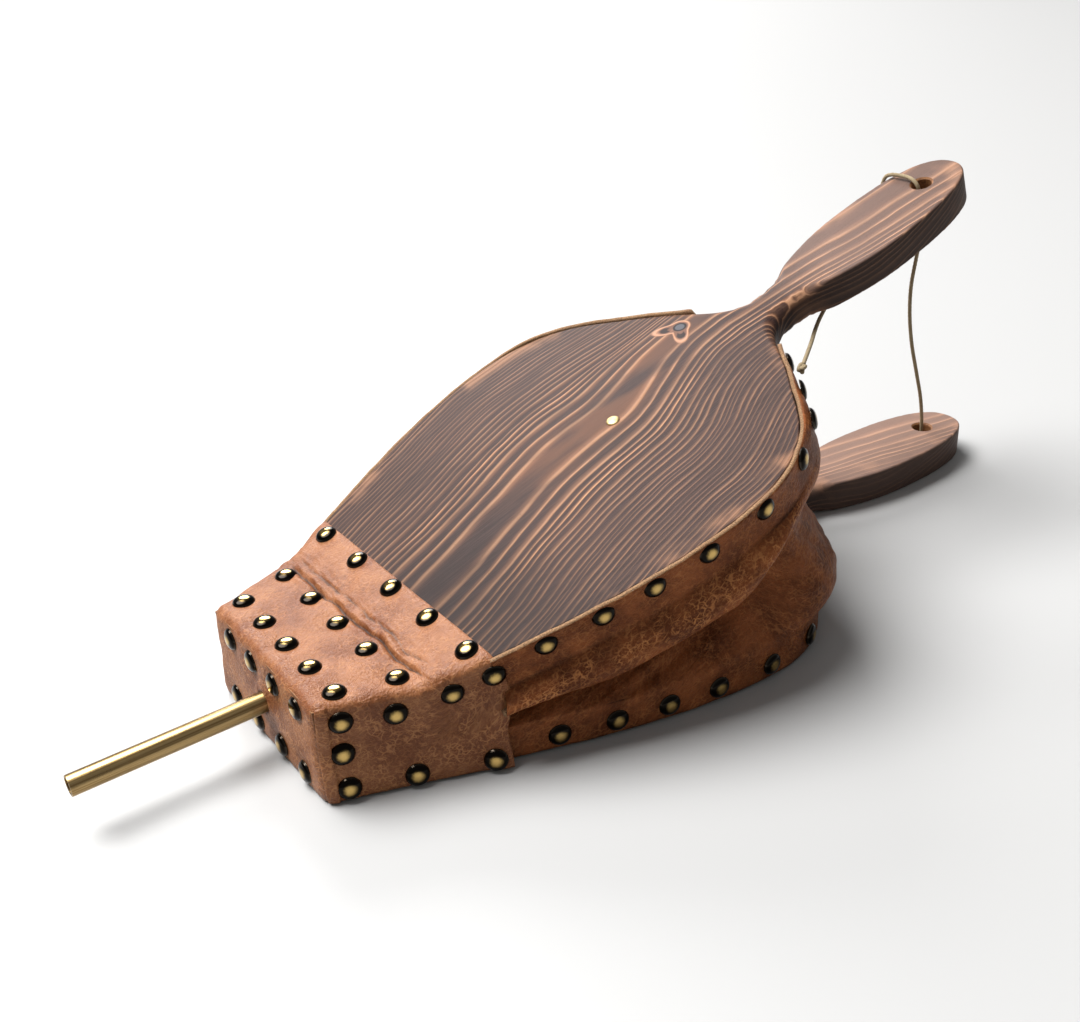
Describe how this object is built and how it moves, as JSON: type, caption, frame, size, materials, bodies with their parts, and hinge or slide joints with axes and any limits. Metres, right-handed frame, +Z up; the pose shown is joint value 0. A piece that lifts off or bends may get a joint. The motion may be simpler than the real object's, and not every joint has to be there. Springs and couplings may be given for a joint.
{
  "type": "hand bellows",
  "caption": "Hand bellows with two paddle-shaped boards that hinge on a leather-covered nose, a nailed leather skirt, a valve flap, a tube nozzle and a hanging cord.",
  "frame": {"origin": "on the floor plane, under the middle of the whole length from the nozzle's end to the handles' ends", "axes": "+X along the bellows from the nozzle to the handles, +Z up from the lower board's underside, +Y to the left when looking along +X"},
  "size_m": [0.563, 0.2302, 0.1827],
  "materials": {
    "burnt_pine": "scorched and brushed pine with raised pale grain, oiled satin",
    "tan_leather": "soft tan leather with fine crackle, satin",
    "brass": "drawn brass, lightly aged",
    "nail_metal": "dark antiqued dome nails, polished with a worn pale crown",
    "twine": "undyed twisted jute"
  },
  "bodies": {
    "root": {"lower_board": "burnt_pine", "head_block": "burnt_pine", "head_cover": "tan_leather", "nozzle": "brass", "skirt": "tan_leather", "valve_hem": "tan_leather", "valve_tack_1": "brass", "valve_tack_2": "brass", "cord": "twine", "cord_hole_knot": "twine", "lower_rim_nail_right_1": "nail_metal", "lower_rim_nail_right_2": "nail_metal", "lower_rim_nail_right_3": "nail_metal", "lower_rim_nail_right_4": "nail_metal", "lower_rim_nail_right_5": "nail_metal", "lower_rim_nail_right_6": "nail_metal", "lower_rim_nail_right_7": "nail_metal", "lower_rim_nail_right_8": "nail_metal", "lower_rim_nail_right_9": "nail_metal", "lower_rim_nail_left_1": "nail_metal", "lower_rim_nail_left_2": "nail_metal", "lower_rim_nail_left_3": "nail_metal", "lower_rim_nail_left_4": "nail_metal", "lower_rim_nail_left_5": "nail_metal", "lower_rim_nail_left_6": "nail_metal", "lower_rim_nail_left_7": "nail_metal", "lower_rim_nail_left_8": "nail_metal", "lower_rim_nail_left_9": "nail_metal"},
    "upper_board": {"upper_board": "burnt_pine", "hinge_flap": "tan_leather", "centre_tack": "brass", "cord_end_knot": "twine", "upper_rim_nail_right_1": "nail_metal", "upper_rim_nail_right_2": "nail_metal", "upper_rim_nail_right_3": "nail_metal", "upper_rim_nail_right_4": "nail_metal", "upper_rim_nail_right_5": "nail_metal", "upper_rim_nail_right_6": "nail_metal", "upper_rim_nail_right_7": "nail_metal", "upper_rim_nail_right_8": "nail_metal", "upper_rim_nail_right_9": "nail_metal", "upper_rim_nail_left_1": "nail_metal", "upper_rim_nail_left_2": "nail_metal", "upper_rim_nail_left_3": "nail_metal", "upper_rim_nail_left_4": "nail_metal", "upper_rim_nail_left_5": "nail_metal", "upper_rim_nail_left_6": "nail_metal", "upper_rim_nail_left_7": "nail_metal", "upper_rim_nail_left_8": "nail_metal", "upper_rim_nail_left_9": "nail_metal", "cheek_nail_right_1": "nail_metal", "cheek_nail_right_2": "nail_metal", "cheek_nail_left_1": "nail_metal", "cheek_nail_left_2": "nail_metal", "flap_nail_1": "nail_metal", "flap_nail_2": "nail_metal", "flap_nail_3": "nail_metal", "flap_nail_4": "nail_metal", "flap_nail_5": "nail_metal"},
    "valve": {"valve_flap": "tan_leather"}
  },
  "joints": [
    {"name": "board_hinge", "type": "hinge", "parent": "root", "child": "upper_board", "pos_m": [-0.143, 0, 0.0474], "axis": [0, -1, 0], "range_deg": [-18.5, 6], "deforming": ["skirt", "cord"]},
    {"name": "valve_hinge", "type": "hinge", "parent": "root", "child": "valve", "pos_m": [-0.0265, 0, 0.0191], "axis": [0, -1, 0], "range_deg": [0, 9]}
  ]
}
